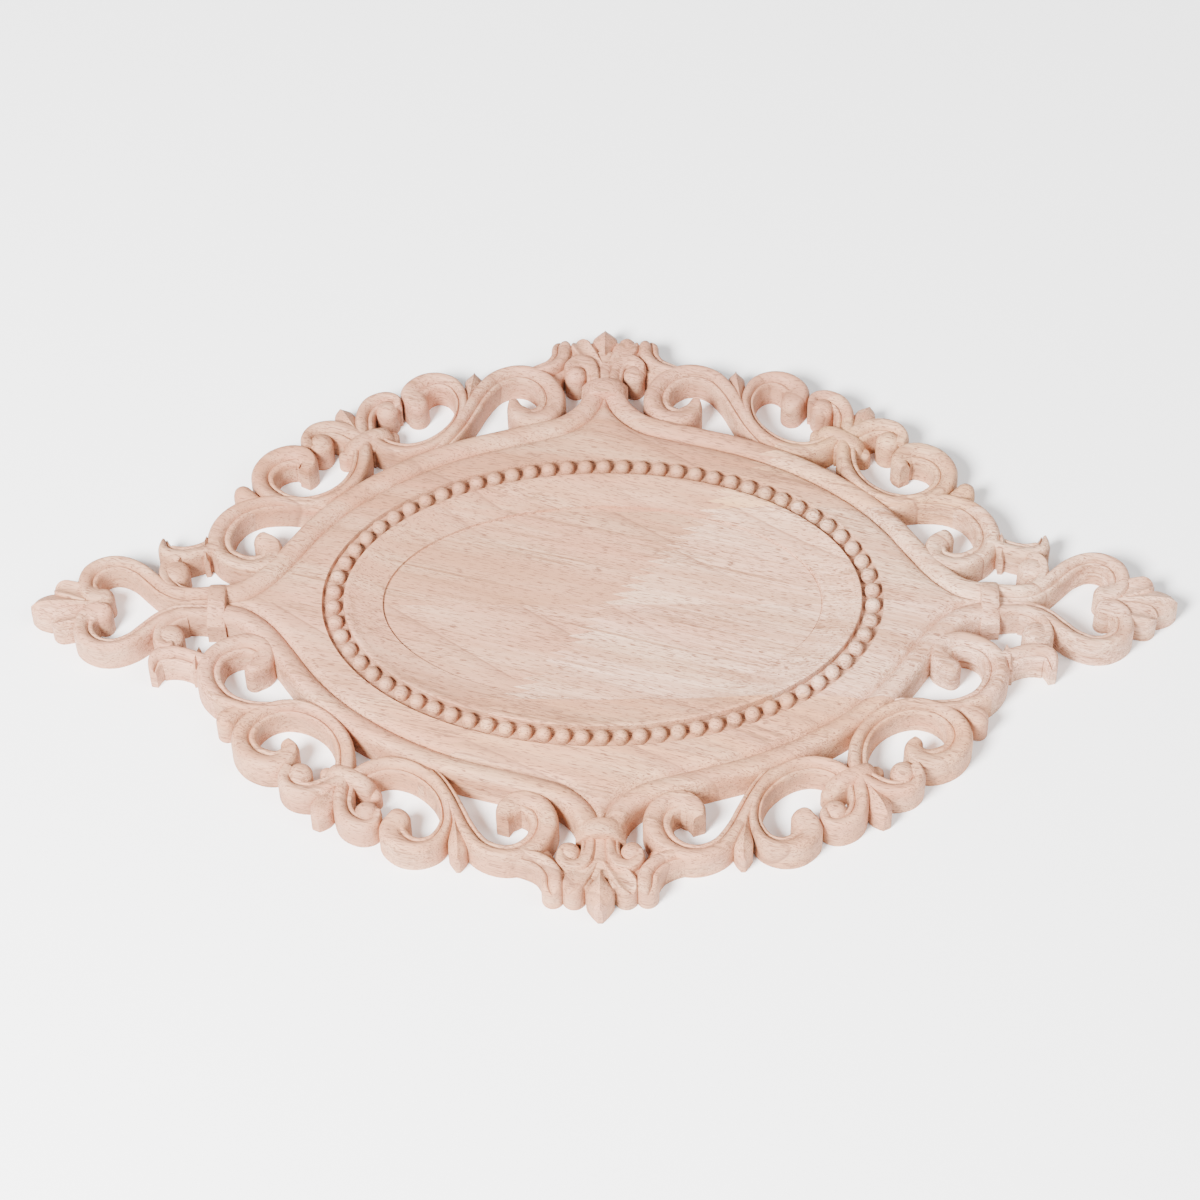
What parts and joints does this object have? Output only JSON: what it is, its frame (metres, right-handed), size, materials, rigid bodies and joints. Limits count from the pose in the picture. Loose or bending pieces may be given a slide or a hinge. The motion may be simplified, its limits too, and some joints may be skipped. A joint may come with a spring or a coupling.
{
  "type": "carved wood applique",
  "caption": "Openwork lozenge-shaped carved wood applique: an oval dish ringed with pearls, with scrolls, buds and leaf finials round it and a flat back.",
  "frame": {"origin": "centre of the flat back", "axes": "+X along the length, +Y across it, +Z out of the flat back towards the carving"},
  "size_m": [0.4, 0.251, 0.015],
  "materials": {
    "bare_wood": "sanded, unpainted"
  },
  "bodies": {
    "root": {"carved_applique": "bare_wood"}
  },
  "joints": []
}
